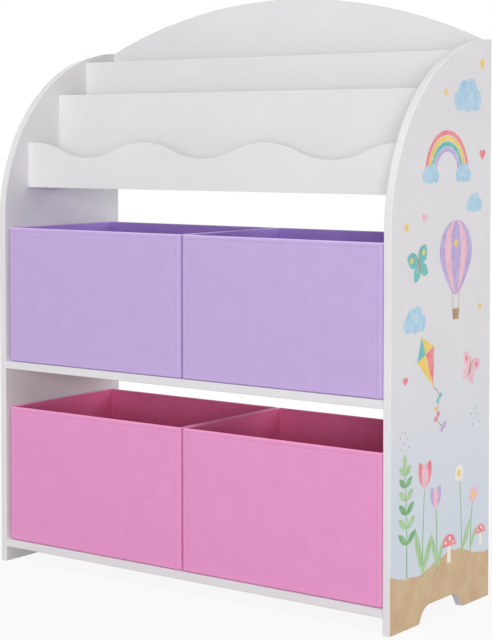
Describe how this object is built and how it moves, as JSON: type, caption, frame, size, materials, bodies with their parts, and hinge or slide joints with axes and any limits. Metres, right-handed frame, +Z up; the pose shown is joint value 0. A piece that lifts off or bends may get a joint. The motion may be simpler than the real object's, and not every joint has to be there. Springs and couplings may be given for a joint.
{
  "type": "shelf unit",
  "caption": "White children's shelf unit with stepped book rails, arched back, round-cornered side panels and open fabric bins in lilac and pink that slide out.",
  "frame": {"origin": "on the floor under the middle of the unit", "axes": "+Z up, -Y out of the open front, +X to the right seen from the front"},
  "size_m": [0.74, 0.278, 0.9044],
  "materials": {
    "white_board": "medium-density fibreboard, sprayed matt white",
    "lilac_cloth": "non-woven polypropylene cloth, lilac",
    "pink_cloth": "non-woven polypropylene cloth, pink",
    "grey_board": "pressed greyboard",
    "dowel_beech": "fluted beech, raw",
    "cam_zinc": "die-cast zinc",
    "bolt_steel": "zinc-plated steel"
  },
  "bodies": {
    "cabinet": {"left_side_panel": "white_board", "right_side_panel": "white_board", "back_panel": "white_board", "bottom_shelf": "white_board", "middle_shelf": "white_board", "front_book_rail": "white_board", "front_book_floor": "white_board", "middle_book_rail": "white_board", "middle_book_floor": "white_board", "rear_book_rail": "white_board", "rear_book_floor": "white_board", "cam_locks": "cam_zinc", "cam_bolts": "bolt_steel", "end_dowels": "dowel_beech", "back_dowels": "dowel_beech", "floor_dowels": "dowel_beech", "step_screws": "bolt_steel"},
    "lower_left_bin": {"lower_left_bin_cover": "pink_cloth", "lower_left_bin_bottom_cloth": "pink_cloth", "lower_left_bin_lining": "pink_cloth", "lower_left_bin_front_board": "grey_board", "lower_left_bin_back_board": "grey_board", "lower_left_bin_left_board": "grey_board", "lower_left_bin_right_board": "grey_board"},
    "lower_left_bin_base": {"lower_left_bin_base_insert": "pink_cloth"},
    "lower_right_bin": {"lower_right_bin_cover": "pink_cloth", "lower_right_bin_bottom_cloth": "pink_cloth", "lower_right_bin_lining": "pink_cloth", "lower_right_bin_front_board": "grey_board", "lower_right_bin_back_board": "grey_board", "lower_right_bin_left_board": "grey_board", "lower_right_bin_right_board": "grey_board"},
    "lower_right_bin_base": {"lower_right_bin_base_insert": "pink_cloth"},
    "upper_left_bin": {"upper_left_bin_cover": "lilac_cloth", "upper_left_bin_bottom_cloth": "lilac_cloth", "upper_left_bin_lining": "lilac_cloth", "upper_left_bin_front_board": "grey_board", "upper_left_bin_back_board": "grey_board", "upper_left_bin_left_board": "grey_board", "upper_left_bin_right_board": "grey_board"},
    "upper_left_bin_base": {"upper_left_bin_base_insert": "lilac_cloth"},
    "upper_right_bin": {"upper_right_bin_cover": "lilac_cloth", "upper_right_bin_bottom_cloth": "lilac_cloth", "upper_right_bin_lining": "lilac_cloth", "upper_right_bin_front_board": "grey_board", "upper_right_bin_back_board": "grey_board", "upper_right_bin_left_board": "grey_board", "upper_right_bin_right_board": "grey_board"},
    "upper_right_bin_base": {"upper_right_bin_base_insert": "lilac_cloth"}
  },
  "joints": [
    {"name": "lower_left_bin_slide", "type": "slide", "parent": "cabinet", "child": "lower_left_bin", "axis": [0, -1, 0], "range_m": [0, 0.3]},
    {"name": "lower_left_bin_base_lift", "type": "slide", "parent": "lower_left_bin", "child": "lower_left_bin_base", "axis": [0, 0, 1], "range_m": [0, 0.18]},
    {"name": "lower_right_bin_slide", "type": "slide", "parent": "cabinet", "child": "lower_right_bin", "axis": [0, -1, 0], "range_m": [0, 0.3]},
    {"name": "lower_right_bin_base_lift", "type": "slide", "parent": "lower_right_bin", "child": "lower_right_bin_base", "axis": [0, 0, 1], "range_m": [0, 0.18]},
    {"name": "upper_left_bin_slide", "type": "slide", "parent": "cabinet", "child": "upper_left_bin", "axis": [0, -1, 0], "range_m": [0, 0.3]},
    {"name": "upper_left_bin_base_lift", "type": "slide", "parent": "upper_left_bin", "child": "upper_left_bin_base", "axis": [0, 0, 1], "range_m": [0, 0.18]},
    {"name": "upper_right_bin_slide", "type": "slide", "parent": "cabinet", "child": "upper_right_bin", "axis": [0, -1, 0], "range_m": [0, 0.3]},
    {"name": "upper_right_bin_base_lift", "type": "slide", "parent": "upper_right_bin", "child": "upper_right_bin_base", "axis": [0, 0, 1], "range_m": [0, 0.18]}
  ]
}
